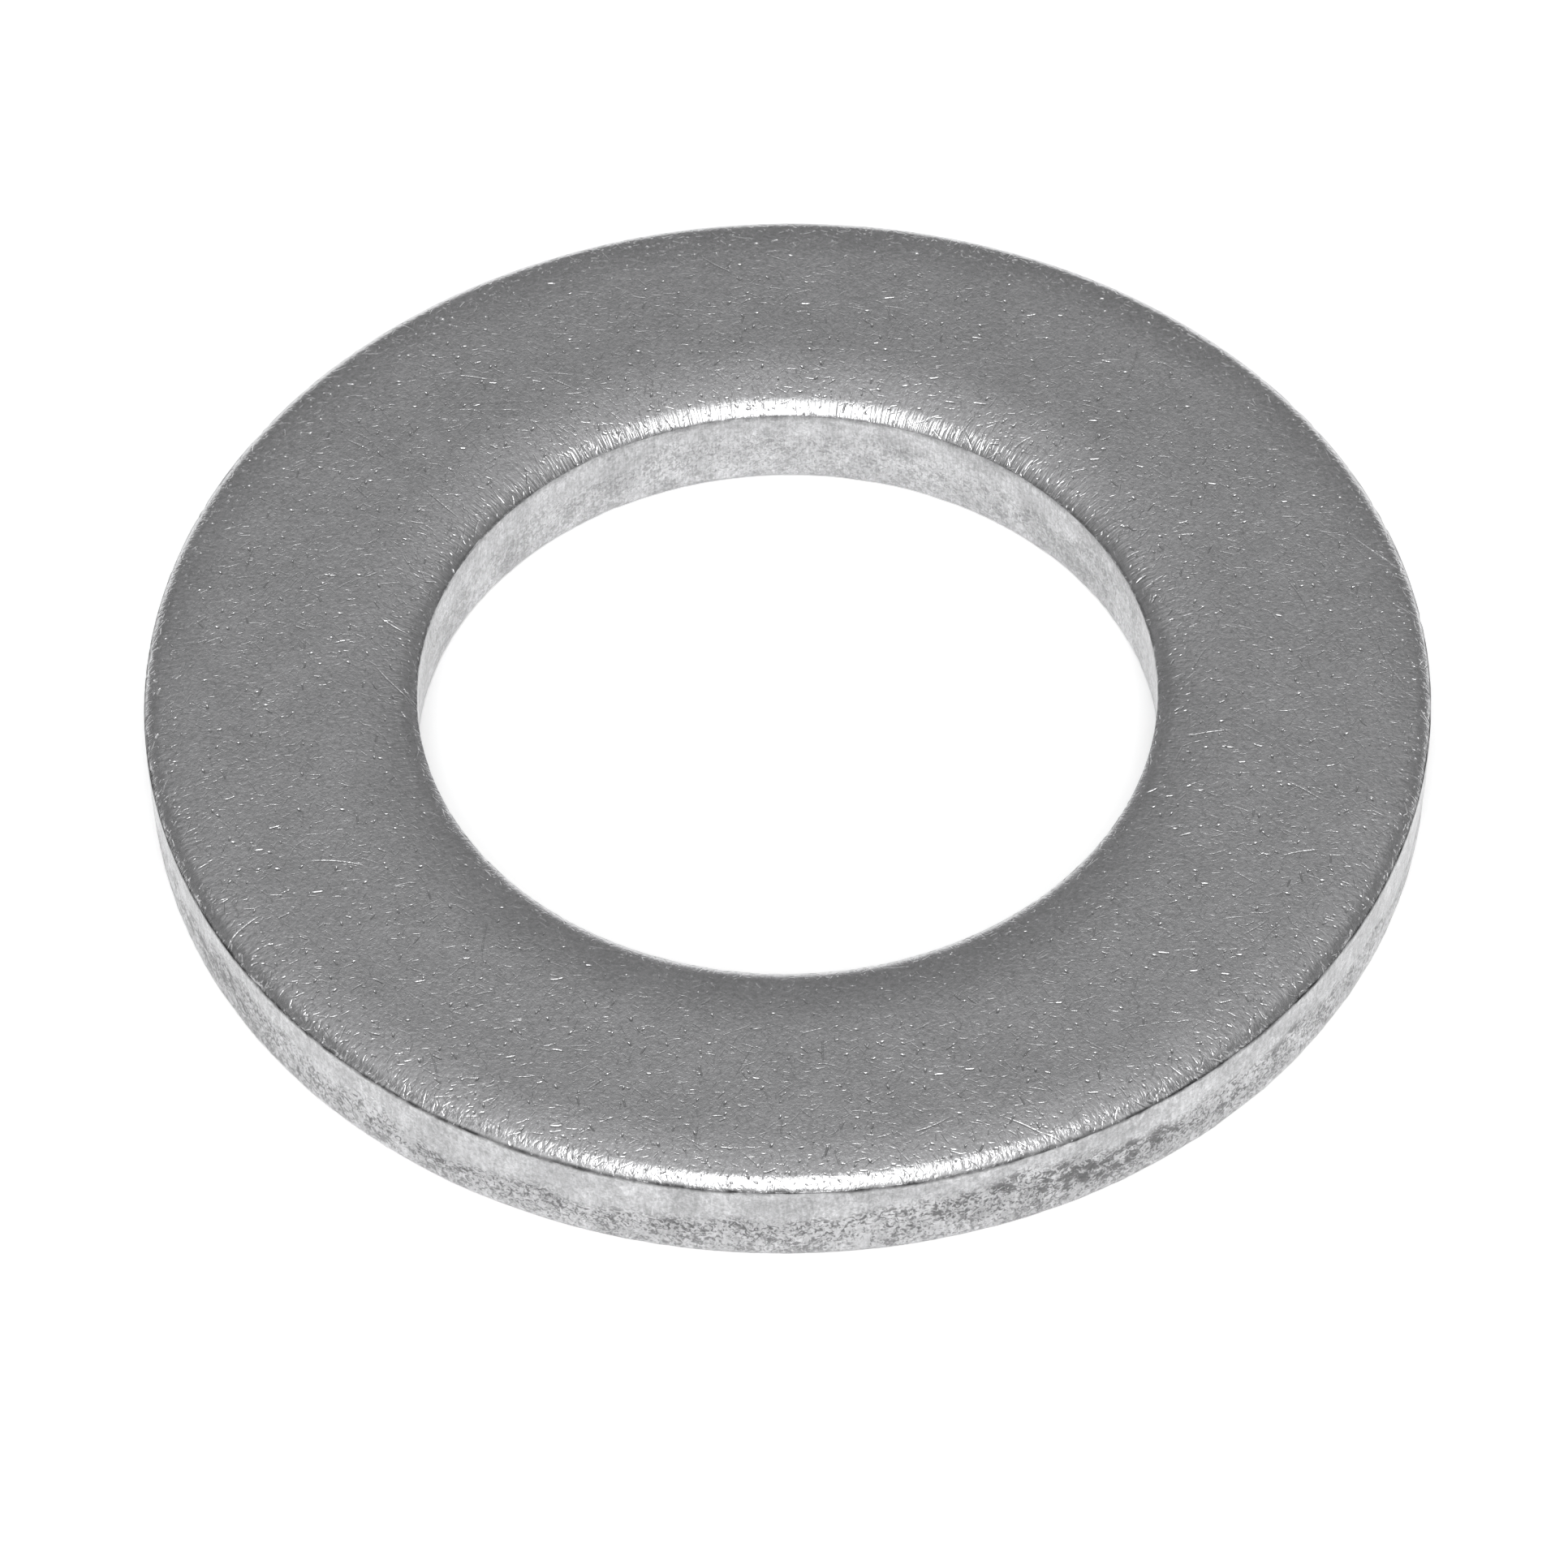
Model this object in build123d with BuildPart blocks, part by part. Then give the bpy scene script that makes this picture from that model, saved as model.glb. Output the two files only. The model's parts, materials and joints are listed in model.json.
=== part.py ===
from build123d import *
from math import cos, radians, sin
import os

# Flat washer for an M24 bolt, blanked from 4 mm stainless plate in one press stroke.
#
# The press leaves its marks on both cut edges. From the top face down, each edge is a die roll, where the
# punch drew the metal over before it cut, then a straight sheared land, then a break, where the rest of the
# plate tore at a slight taper, and last a small round left by tumbling. The origin is the centre of the hole
# in the plane of the bottom face, and +Z runs along the hole, out of the rolled face.

# Driving dimensions, in millimetres. The standard allows 43.38 to 44.00, 25.00 to 25.33 and 3.7 to 4.3.
outer_diameter = 43.8
hole_diameter = 25.2
thickness = 3.9

# A die roll is a chain of tangent arcs, slow first and quick last. Each is a radius and the slope it ends at,
# and the last ends at 90 degrees, along the sheared land.
rim_roll = ((9.5, 10.0), (0.9, 50.0), (0.12, 90.0))
hole_roll = ((11.0, 12.0), (1.4, 42.0), (0.14, 90.0))

break_height = 1.75  # the sheared lands end this far above the bottom face
rim_draw_in = 0.07  # how far the break draws in at the rim, from the land to the bottom face
hole_draw_out = 0.12  # how far the break opens out in the hole
foot_round = 0.16  # where a break meets the bottom face

rim_radius = outer_diameter / 2
hole_radius = hole_diameter / 2


def roll_width(roll):
    """How far a die roll reaches in from its edge: each arc adds its radius times the change in sine."""
    slopes = [0.0] + [radians(end_slope) for _, end_slope in roll]
    return sum(arc[0] * (sin(b) - sin(a)) for arc, a, b in zip(roll, slopes, slopes[1:]))


def draw_roll(roll, edge_radius, outward):
    """Draws a die roll from the flat top to its edge and returns both ends.

    outward is 1 at the rim, where the roll falls away from the axis, and -1 at the hole.
    """
    start = Vector(edge_radius - outward * roll_width(roll), thickness)
    point, direction, slope = start, Vector(outward, 0), 0.0
    for arc_radius, end_slope in roll:
        arc = JernArc(point, direction, arc_radius, -outward * (end_slope - slope))
        point, direction, slope = arc @ 1, arc % 1, end_slope
    return start, point


with BuildPart() as washer:
    with BuildSketch(Plane.XZ) as section:
        with BuildLine():
            rim_roll_start, rim_crest = draw_roll(rim_roll, rim_radius, 1)
            hole_roll_start, hole_crest = draw_roll(hole_roll, hole_radius, -1)
            Line(hole_roll_start, rim_roll_start)  # the flat top
            # Down the rim, in along the bottom face and up the hole.
            Polyline(
                rim_crest,
                (rim_radius, break_height),
                (rim_radius - rim_draw_in, 0),
                (hole_radius + hole_draw_out, 0),
                (hole_radius, break_height),
                hole_crest,
            )
        make_face()
        feet = section.vertices().group_by(Axis.Y)[0]
        fillet(feet, foot_round)
    revolve(axis=Axis.Z)
washer.part.label = "washer"

os.makedirs("parts", exist_ok=True)
export_step(washer.part, "parts/washer.step")
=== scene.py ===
import json
from math import cos, pi, radians, sin

import bpy
import numpy as np
from mathutils import Matrix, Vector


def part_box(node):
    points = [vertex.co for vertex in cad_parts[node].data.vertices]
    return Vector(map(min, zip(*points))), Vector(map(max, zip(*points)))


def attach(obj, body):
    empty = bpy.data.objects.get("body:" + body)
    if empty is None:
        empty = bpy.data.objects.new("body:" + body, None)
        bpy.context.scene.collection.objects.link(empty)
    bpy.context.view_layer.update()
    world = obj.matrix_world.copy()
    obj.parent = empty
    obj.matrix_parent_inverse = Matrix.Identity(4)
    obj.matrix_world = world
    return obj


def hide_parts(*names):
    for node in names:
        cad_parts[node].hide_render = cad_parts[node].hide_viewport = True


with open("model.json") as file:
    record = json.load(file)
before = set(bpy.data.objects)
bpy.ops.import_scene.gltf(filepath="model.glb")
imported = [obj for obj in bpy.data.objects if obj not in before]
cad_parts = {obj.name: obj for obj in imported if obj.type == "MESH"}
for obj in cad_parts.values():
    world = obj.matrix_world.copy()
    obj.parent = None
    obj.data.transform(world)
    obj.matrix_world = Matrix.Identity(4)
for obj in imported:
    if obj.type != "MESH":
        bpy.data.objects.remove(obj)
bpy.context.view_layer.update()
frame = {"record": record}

# The camera. A long lens on a full-size sensor, looking down on the washer at 49 degrees from a little
# over a quarter of a metre, turned by the fractions of a degree that a hand leaves on a tripod head.
lens_distance, lens_elevation = 0.2855, radians(49.264)
lens_tilt, lens_swing, lens_roll = radians(-0.237), radians(0.031), radians(-0.726)
sensor_width, focal_length, nearest = 36, 190.7, 0.01

camera = bpy.data.objects.new("camera", bpy.data.cameras.new("camera"))
bpy.context.scene.collection.objects.link(camera)
bpy.context.scene.camera = camera
camera.data.sensor_width = sensor_width
camera.data.lens = focal_length
camera.data.clip_start = nearest
stand = Matrix.Translation((0, -lens_distance * cos(lens_elevation), lens_distance * sin(lens_elevation)))
head = Matrix.Rotation(pi / 2 - lens_elevation + lens_tilt, 4, "X") @ Matrix.Rotation(lens_swing, 4, "Y")
camera.matrix_world = stand @ head @ Matrix.Rotation(lens_roll, 4, "Z")

# The washer. One ring of 4 mm stainless plate, blanked and pierced in a single press stroke and then
# tumbled. Each cut edge runs from a die roll through a scored, sheared land to a torn, pitted break.
# Its sizes are in millimetres, and its points are turned into metres at the end.
bore = next(mount for mount in frame["record"]["mounts"] if mount["name"] == "bore")
far_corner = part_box("washer")[1]
rim_radius, plate = far_corner.x * 1000, far_corner.z * 1000
hole_radius = bore["dims"]["r_mm"]

# Each die roll is a chain of arcs: its radius, the slope in degrees where it ends, and its steps.
rim_roll = ((9.5, 10, 5), (0.9, 50, 8), (0.12, 90, 5))
hole_roll = ((11, 12, 5), (1.4, 42, 8), (0.14, 90, 5))
rim_draw_in, hole_draw_out = 0.07, 0.12
break_height, foot = 1.75, 0.16
rim_steps, hole_steps, face_steps = 28, 16, 4
spokes = 1050


def die_roll(arcs):
    """Reach and drop of a die roll from the flat: an arc of radius a from slope p to q goes a(sin q - sin p)
    out and a(cos p - cos q) down."""
    reach, drop, slope = [0.0], [0.0], 0.0
    for radius, end, steps in arcs:
        slopes = np.radians(np.linspace(slope, end, steps + 1)[1:])
        start = radians(slope)
        out, down = reach[-1], drop[-1]
        reach.extend(out + radius * (np.sin(slopes) - sin(start)))
        drop.extend(down + radius * (cos(start) - np.cos(slopes)))
        slope = end
    return np.array(reach), np.array(drop)


def cut_edge(arcs, draw, wall_steps):
    """Inset from the edge's own radius and height of one cut edge, from the flat top down to the flat bottom:
    the die roll, the wall, which slopes back by draw below the break height, and a quarter-round foot."""
    reach, drop = die_roll(arcs)
    heights = np.linspace(plate - drop[-1], foot, wall_steps + 1)[1:]
    slopes = np.radians((30, 60, 90))
    inset = [reach[-1] - reach, draw * np.clip(1 - heights / break_height, 0, 1)]
    inset.append(inset[1][-1] + foot * (1 - np.cos(slopes)))
    return np.concatenate(inset), np.concatenate([plate - drop, heights, foot * (1 - np.sin(slopes))])


# The section, as stations from the foot of the hole up, out over the top, down the rim and back under.
rim_inset, rim_height = cut_edge(rim_roll, rim_draw_in, rim_steps)
hole_inset, hole_height = cut_edge(hole_roll, hole_draw_out, hole_steps)
hole_wall, rim_wall = hole_radius + hole_inset[::-1], rim_radius - rim_inset
top = np.linspace(hole_wall[-1], rim_wall[0], face_steps + 1)[1:-1]
bottom = np.linspace(rim_wall[-1], hole_wall[0], face_steps + 1)[1:-1]
radius = np.concatenate([hole_wall, top, rim_wall, bottom])
height = np.concatenate([hole_height[::-1], plate + 0 * top, rim_height, 0 * bottom])

stations = len(radius)
turn = np.arange(spokes)[:, None] / spokes
path = np.concatenate([[0], np.cumsum(np.hypot(np.diff(radius), np.diff(height)))])[None, :]


def lumps(length, depth, seed):
    """Relief from -1 to 1 over the ring. Random levels stand at the corners of cells, length mm round the rim
    and depth mm along the section, eased between them by 3t^2 - 2t^3. The cells close round the ring."""
    cells = round(2 * pi * rim_radius / length)
    x, y = turn * cells, path / depth
    levels = np.random.default_rng(seed).uniform(-1, 1, (cells, int(y.max()) + 2))
    i, j = np.floor(x).astype(int), np.floor(y).astype(int)
    u, v = (3 - 2 * (x - i)) * (x - i) ** 2, (3 - 2 * (y - j)) * (y - j) ** 2
    k = (i + 1) % cells
    near = levels[i, j] * (1 - u) + levels[k, j] * u
    far = levels[i, j + 1] * (1 - u) + levels[k, j + 1] * u
    return near * (1 - v) + far * v


def ease(x, start, end):
    """0 before start, 1 past end, and 3t^2 - 2t^3 between them."""
    t = np.clip((x - start) / (end - start), 0, 1)
    return t * t * (3 - 2 * t)


# The outward normal is the run of the section, from the station before to the one after, turned a quarter.
run_r, run_z = np.roll(radius, -1) - np.roll(radius, 1), np.roll(height, -1) - np.roll(height, 1)
run = np.hypot(run_r, run_z)
normal_r, normal_z = -run_z / run, run_r / run
upright = ease(np.abs(normal_r), 0.75, 0.99)[None, :]
at_rim = ease(radius, 17, 18)[None, :]
throughout = 99  # mm, deeper than the section is long, so a relief keeps its shape all along it

# The die roll is coarse from being stretched, and coarsest at its crest, where it ends in a ragged line.
rolled = ease(radius, rim_radius - 1.7, rim_radius - 0.3)
rolled = rolled + ease(-radius, -hole_radius - 1.7, -hole_radius - 0.3)
rolled = rolled * (height > plate - 0.6) * (1 - upright)
rim_crest, hole_crest = (plate + 0.05 - die_roll(arcs)[1][-1] for arcs in (rim_roll, hole_roll))
crest_height = np.where(at_rim > 0.5, rim_crest, hole_crest)
crest_height = crest_height + 0.03 * lumps(1.2, throughout, 19) + 0.02 * lumps(0.3, throughout, 20)
crest = ease(-np.abs(height - crest_height), -0.085, -0.04) * (0.5 + 0.5 * at_rim)
# Where painted shade darkens the foot of each wall, next to the paper.
painted_foot_shade = ease(-height, -0.16, -0.05) * upright

# The tear starts at an uneven height, so the land is deep in some places and shallow in others.
tear_height = break_height + 0.45 + 0.6 * lumps(9, throughout, 3)
tear_height = tear_height + 0.35 * lumps(2.6, throughout, 4) + 0.2 * lumps(0.6, throughout, 5)
torn = ease(tear_height - height, -0.3, 0.3) * (0.6 + 0.4 * ease(height, 0.2, 1.2))
torn = torn * upright * (0.35 + 0.65 * at_rim)
pits = 0.7 * lumps(0.3, 0.3, 6) + 0.8 * lumps(2.1, 1.0, 7) + 0.7 * lumps(8, throughout, 8)
pits = ease(pits, 0.1, 1.2) * torn
scores = lumps(0.26, throughout, 9) + 0.6 * lumps(0.7, throughout, 10)

# How deep each point is cut below the plain section: scores down the land, pits in the break, waves over the
# die roll, nicks in its crest, and a ragged foot.
cut = 0.003 * (scores + 1.6) * upright * (1 - torn)
cut += (0.006 + 0.008 * (1 + lumps(0.8, 0.7, 11)) + 0.006 * (1 + lumps(0.28, 0.27, 12)) + 0.020 * pits) * torn
cut += (0.004 * (1 + lumps(1.6, 0.8, 13)) + 0.0015 * (1 + lumps(0.25, 0.3, 14))) * rolled
nicks = ease(0.6 * lumps(0.22, throughout, 17) + 0.6 * lumps(1.1, throughout, 18), 0.3, 0.9)
cut += 0.04 * nicks * crest
at_foot = ease(0.3 - height, 0, 0.2) * ease(height, 0, 0.04)
cut += (0.012 * (1 + lumps(1.3, throughout, 15)) + 0.008 * (1 + lumps(0.35, throughout, 16))) * at_foot

x = (radius - normal_r * cut) * np.cos(2 * pi * turn)
y = (radius - normal_r * cut) * np.sin(2 * pi * turn)
z = height - normal_z * cut
points = np.stack([x, y, z], axis=-1).reshape(-1, 3) / 1000

spoke, station = np.meshgrid(np.arange(spokes), np.arange(stations), indexing="ij")
this_spoke, next_spoke = spoke * stations, (spoke + 1) % spokes * stations
next_station = (station + 1) % stations
corners = [this_spoke + station, this_spoke + next_station, next_spoke + next_station, next_spoke + station]
quads = np.stack(corners, axis=-1).reshape(-1, 4)

ring = bpy.data.meshes.new("stamped_ring")
ring.from_pydata(points, [], quads)
ring.shade_smooth()
marks = {"torn": torn, "pits": pits, "rolled": rolled, "upright": upright, "crest": crest, "foot": painted_foot_shade}
for name, amount in marks.items():
    amounts = np.broadcast_to(amount, torn.shape).astype(np.float32).ravel()
    ring.attributes.new(name, "FLOAT", "POINT").data.foreach_set("value", amounts)
washer = bpy.data.objects.new("stamped_ring", ring)
bpy.context.scene.collection.objects.link(washer)

# Its metal. Austenitic stainless, tumbled to a satin: a fine even grain, short scratches and dings every way
# where washers rubbed together, a bright scored land, and a break darkened by painted shade where the torn
# grain traps light.
steel_grey = (0.62, 0.62, 0.63)
steel = bpy.data.materials.new("tumbled_stainless")
steel.use_nodes = True
tree = steel.node_tree
tree.nodes.clear()


def put(kind, links=(), **settings):
    """Adds a node to the tree in hand. Each link gives one of its sockets a value or a node's output."""
    node = tree.nodes.new(kind)
    for name, value in settings.items():
        setattr(node, name, value)
    for socket, value in links:
        if isinstance(value, bpy.types.NodeSocket):
            tree.links.new(value, node.inputs[socket])
        else:
            node.inputs[socket].default_value = value
    return node


def maths(operation, a, b=0.0, c=0.0):
    """One sum of up to three numbers. MULTIPLY_ADD is a times b, plus c."""
    return put("ShaderNodeMath", ((0, a), (1, b), (2, c)), operation=operation).outputs[0]


def vector(operation, a, b=(0, 0, 0), output=0):
    """One sum of two vectors. Output 0 is a vector, and output 1 is a number."""
    return put("ShaderNodeVectorMath", ((0, a), (1, b)), operation=operation).outputs[output]


def between(value, start, end, low=0.0, high=1.0):
    """low before start, high past end, and eased between."""
    links = (("Value", value), ("From Min", start), ("From Max", end), ("To Min", low), ("To Max", high))
    return put("ShaderNodeMapRange", links, interpolation_type="SMOOTHSTEP").outputs[0]


def noise(at, scale, detail=2.0, roughness=0.5, distortion=0.0):
    """Cloudy noise round 0.5, with about scale lumps to each unit of at."""
    links = (("Vector", at), ("Scale", scale), ("Detail", detail), ("Roughness", roughness))
    return put("ShaderNodeTexNoise", links + (("Distortion", distortion),)).outputs[0]


def mark(name):
    """The amount of one of the mesh's marks at this point, from 0 to 1."""
    return put("ShaderNodeAttribute", attribute_name=name).outputs["Fac"]


metres = put("ShaderNodeTexCoord").outputs["Object"]
place = vector("MULTIPLY", metres, (1000, 1000, 1000))
torn_here, rolled_here = mark("torn"), mark("rolled")
upright_here, crest_here = mark("upright"), mark("crest")
faces_here = maths("SUBTRACT", 1.0, upright_here)

# Metal drawn over the edge: streaks that run out along the faces and down the walls.
across = vector("MULTIPLY", place, (1, 1, 0))
outward = vector("NORMALIZE", across)
tall = put("ShaderNodeSeparateXYZ", (("Vector", place),)).outputs[2]
run_out = maths("SUBTRACT", vector("LENGTH", across, output=1), tall)
along = put("ShaderNodeCombineXYZ", (("Z", run_out),)).outputs[0]


def drawn(per_mm, stretch):
    """A noise with per_mm streaks to the millimetre round the ring, each stretch times as long as wide."""
    round_ring = vector("MULTIPLY", outward, (rim_radius * per_mm,) * 3)
    return noise(vector("ADD", round_ring, vector("MULTIPLY", along, (per_mm / stretch,) * 3)), 1.0, 2.0, 0.6)


net_shift = (17.3, 7.9)


def net(cell, seed):
    """A random net of cells on the faces. Gives where a point stands from its cell's middle, in axes turned
    by chance for each cell, and three chances of that cell from 0 to 1."""
    shifted = vector("ADD", across, (seed * net_shift[0], seed * net_shift[1], 0))
    links = (("Vector", shifted), ("Scale", 1 / cell), ("Randomness", 1.0))
    cells = put("ShaderNodeTexVoronoi", links, voronoi_dimensions="2D")
    chances = put("ShaderNodeSeparateColor", (("Color", cells.outputs["Color"]),)).outputs
    offset = vector("SUBTRACT", shifted, cells.outputs["Position"])
    turning = (("Vector", offset), ("Angle", maths("MULTIPLY", chances[0], 2 * pi)))
    return put("ShaderNodeVectorRotate", turning, rotation_type="Z_AXIS").outputs[0], chances


def scratches(cell, width, length, share, seed):
    """One shallow curved groove through each cell's middle, at its own angle and as long as chance has it, up
    to length. 1 in the groove, 0 outside, and only a share of the cells has one."""
    offset, chances = net(cell, seed)
    way = put("ShaderNodeSeparateXYZ", (("Vector", offset),)).outputs
    reach = maths("ABSOLUTE", way[0])
    bend = maths("MULTIPLY", maths("MULTIPLY", reach, reach), maths("SUBTRACT", chances[2], 0.5))
    aside = maths("ABSOLUTE", maths("MULTIPLY_ADD", bend, 0.7 / length, way[1]))
    draw = maths("FRACT", maths("MULTIPLY", chances[2], 7.0))
    half = maths("MULTIPLY_ADD", draw, 0.35 * length, 0.15 * length)
    ends = between(maths("DIVIDE", reach, half), 0.5, 1, 1, 0)
    groove = maths("MULTIPLY", between(aside, 0, width, 1, 0), ends)
    return maths("MULTIPLY", groove, maths("LESS_THAN", chances[1], share))


def dents(cell, reach, share, seed):
    """At most one dent in each cell, half as wide as it is long. 1 in its middle, 0 from reach out."""
    offset, chances = net(cell, seed)
    size = maths("MULTIPLY_ADD", chances[2], 0.6 * reach, 0.4 * reach)
    away = vector("LENGTH", vector("MULTIPLY", offset, (1, 2, 0)), output=1)
    dent = between(maths("DIVIDE", away, size), 0, 1, 1, 0)
    return maths("MULTIPLY", dent, maths("LESS_THAN", chances[1], share))


# Every texture is laid out in millimetres. Faint scratches cover the faces, deep ones are few, and the glints
# are dings, which crowd at the edges.
grain = noise(place, 7.5, 3.5, 0.7, 0.5)
mottle = noise(place, 5.5, 4, 0.75)
cloud = noise(place, 0.5, 3)
streaks = drawn(5.5, 2.4)
scores_here = drawn(8, 4)
faint = maths("MAXIMUM", scratches(0.45, 0.035, 0.5, 0.6, 1), scratches(0.38, 0.03, 0.4, 0.6, 2))
faint = maths("MAXIMUM", faint, scratches(0.9, 0.035, 1.0, 0.5, 3))
long_scratches = maths("MULTIPLY", scratches(2.8, 0.045, 2.4, 0.3, 5), 0.55)
deep = maths("MAXIMUM", scratches(1.0, 0.045, 0.5, 0.45, 4), long_scratches)
rim_dents = maths("MULTIPLY", dents(0.3, 0.12, 0.4, 7), rolled_here)
glints = maths("MAXIMUM", dents(0.6, 0.13, 0.42, 6), rim_dents)

# Painted shade darkens the pits that crawl through the break, thick where the mesh is pitted, and a few that
# climb the land.
pit_shade_patches = maths("MULTIPLY_ADD", mark("pits"), 0.85, noise(place, 0.9, 2))
worms = noise(place, 5.2, 2.6, 0.6, 1.4)
painted_pit_shade = between(maths("MULTIPLY_ADD", pit_shade_patches, 0.26, worms), 0.565, 0.76)
painted_pit_shade = maths("MULTIPLY", painted_pit_shade, maths("MULTIPLY_ADD", torn_here, 0.72, 0.28))
painted_pit_shade = maths("MULTIPLY", painted_pit_shade, upright_here)

# The metal is lighter and darker with the mottle of the tumbling and the scores, darker in the pits with
# painted shade, and darkest in a painted shade hairline along the crest of the die roll and another at the
# foot.
tone = maths("MULTIPLY_ADD", mottle, 0.9, 0.55)
tone = maths("MULTIPLY", tone, between(cloud, 0.3, 0.7, 0.96, 1.04))
tone = maths("MULTIPLY", tone, maths("MULTIPLY_ADD", painted_pit_shade, -0.70, 1.0))
wall_tone = maths("MULTIPLY_ADD", scores_here, 0.6, 0.58)
wall_tone = maths("MULTIPLY", wall_tone, between(noise(place, 0.8, 3, 0.6), 0.3, 0.7, 0.87, 1.11))
walls = put("ShaderNodeMix", (("Factor", upright_here), ("A", 1.0), ("B", wall_tone)))
tone = maths("MULTIPLY", tone, walls.outputs[0])
# Painted shade: a dark hairline where the crest of the die roll turns from the light, and one at the foot by
# the paper.
painted_hairline_shade = maths("MULTIPLY", crest_here, between(noise(place, 1.2, 4, 0.6), 0.35, 0.65, 0.5, 0.88))
painted_hairline_shade = maths("MULTIPLY_ADD", mark("foot"), 0.35, painted_hairline_shade)
tone = maths("MULTIPLY", tone, maths("SUBTRACT", 1.0, painted_hairline_shade))
colour = put("ShaderNodeVectorMath", ((0, steel_grey), ("Scale", tone)), operation="SCALE").outputs[0]

# Grain roughens the satin a little, and torn metal more.
satin = maths("MULTIPLY_ADD", grain, 0.08, 0.20)
satin = maths("MULTIPLY_ADD", torn_here, 0.1, satin)

# Heights of what is too fine for the mesh, in millimetres: marks cut into the faces, then the grain, the
# streaks over the edge, the scores and the pits.
marks_cut = maths("MULTIPLY", faint, -0.008)
marks_cut = maths("MULTIPLY_ADD", deep, -0.024, marks_cut)
dent_depth = maths("MULTIPLY_ADD", rolled_here, 0.020, -0.038)
marks_cut = maths("MULTIPLY_ADD", glints, dent_depth, marks_cut)
relief = maths("MULTIPLY", grain, maths("MULTIPLY_ADD", rolled_here, -0.014, 0.024))
relief = maths("MULTIPLY_ADD", marks_cut, faces_here, relief)
relief = maths("MULTIPLY_ADD", maths("MULTIPLY", streaks, rolled_here), 0.030, relief)
relief = maths("MULTIPLY_ADD", maths("MULTIPLY", scores_here, upright_here), 0.03, relief)
relief = maths("MULTIPLY_ADD", maths("MULTIPLY", worms, torn_here), 0.02, relief)
bump = put("ShaderNodeBump", (("Height", relief), ("Distance", 0.001), ("Strength", 1.0))).outputs[0]

surface = (("Base Color", colour), ("Metallic", 1.0), ("Roughness", satin), ("Normal", bump))
shader = put("ShaderNodeBsdfPrincipled", surface)
put("ShaderNodeOutputMaterial", (("Surface", shader.outputs[0]),))
ring.materials.append(steel)

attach(washer, "root")
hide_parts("washer")

# The studio. White paper that glows a little under everything, a pale grey room, and an oval softbox overhead
# that leans toward the camera, with a faint lamp of the same lean for the shadow.
paper_reach, paper_gap, paper_white, paper_glow = 4.0, 0.00002, (0.95, 0.95, 0.95, 1), 0.32
paper_sheet = bpy.data.meshes.new("paper")
paper_corners = np.array(((-1, -1, 0), (1, -1, 0), (1, 1, 0), (-1, 1, 0))) * paper_reach
paper_sheet.from_pydata(paper_corners - (0, 0, paper_gap), [], [(0, 1, 2, 3)])
paper = bpy.data.objects.new("paper", paper_sheet)
bpy.context.scene.collection.objects.link(paper)
white = bpy.data.materials.new("white_paper")
white.use_nodes = True
white_surface = white.node_tree.nodes["Principled BSDF"].inputs
white_surface["Base Color"].default_value = paper_white
white_surface["Roughness"].default_value = 0.9
white_surface["Specular IOR Level"].default_value = 0.0
white_surface["Emission Color"].default_value = (1, 1, 1, 1)
white_surface["Emission Strength"].default_value = paper_glow
paper_sheet.materials.append(white)

lamp_lean = radians(28)
lamp_half_wide, lamp_half_long = sin(radians(14)), sin(radians(32))
lamp_level, lamp_energy = 4.0, 0.3
lamp = bpy.data.objects.new("lamp", bpy.data.lights.new("lamp", "SUN"))
bpy.context.scene.collection.objects.link(lamp)
lamp.data.angle = 2 * radians(14)
lamp.data.energy = lamp_energy
lamp.matrix_world = Matrix.Rotation(lamp_lean, 4, "X")

room = bpy.data.worlds.new("room")
bpy.context.scene.world = room
room.use_nodes = True
tree = room.node_tree
tree.nodes.clear()
# The walls brighten with height, and low down behind the camera. The softbox fades out over its edge.
toward = put("ShaderNodeTexCoord").outputs["Generated"]
axes = put("ShaderNodeSeparateXYZ", (("Vector", toward),)).outputs
ramp = put("ShaderNodeValToRGB", (("Fac", axes["Z"]),))
wall_heights = (0.0, 0.2, 0.4, 0.55, 0.66, 0.74, 0.8, 0.95)
wall_levels = (0.3, 0.27, 0.25, 0.25, 0.28, 0.325, 0.445, 0.6)
while len(ramp.color_ramp.elements) < len(wall_heights):
    ramp.color_ramp.elements.new(1.0)
for element, position, level in zip(ramp.color_ramp.elements, wall_heights, wall_levels):
    element.position = position
    element.color = (level, level, level, 1)
near_wall = between(axes["Y"], -0.5, -0.2, 0.8, 0.0)
wall_glow = maths("MAXIMUM", ramp.outputs[0], near_wall)
aside = maths("DIVIDE", axes["X"], lamp_half_wide)
lengthwise = vector("DOT_PRODUCT", toward, (0, cos(lamp_lean), sin(lamp_lean)), output=1)
oval = put("ShaderNodeCombineXYZ", (("X", aside), ("Y", maths("DIVIDE", lengthwise, lamp_half_long))))
softbox = between(vector("LENGTH", oval.outputs[0], output=1), 0.6, 1.3, lamp_level, 0.0)
softbox = maths("MULTIPLY", softbox, maths("GREATER_THAN", axes["Z"], 0.0))
light = maths("MAXIMUM", wall_glow, softbox)
seen = put("ShaderNodeLightPath").outputs["Is Camera Ray"]
level = put("ShaderNodeMix", (("Factor", seen), ("A", light), ("B", 1.0))).outputs[0]
glow = put("ShaderNodeBackground", (("Color", (1, 1, 1, 1)), ("Strength", level)))
put("ShaderNodeOutputWorld", (("Surface", glow.outputs[0]),))

bpy.context.scene.view_settings.view_transform = "Standard"
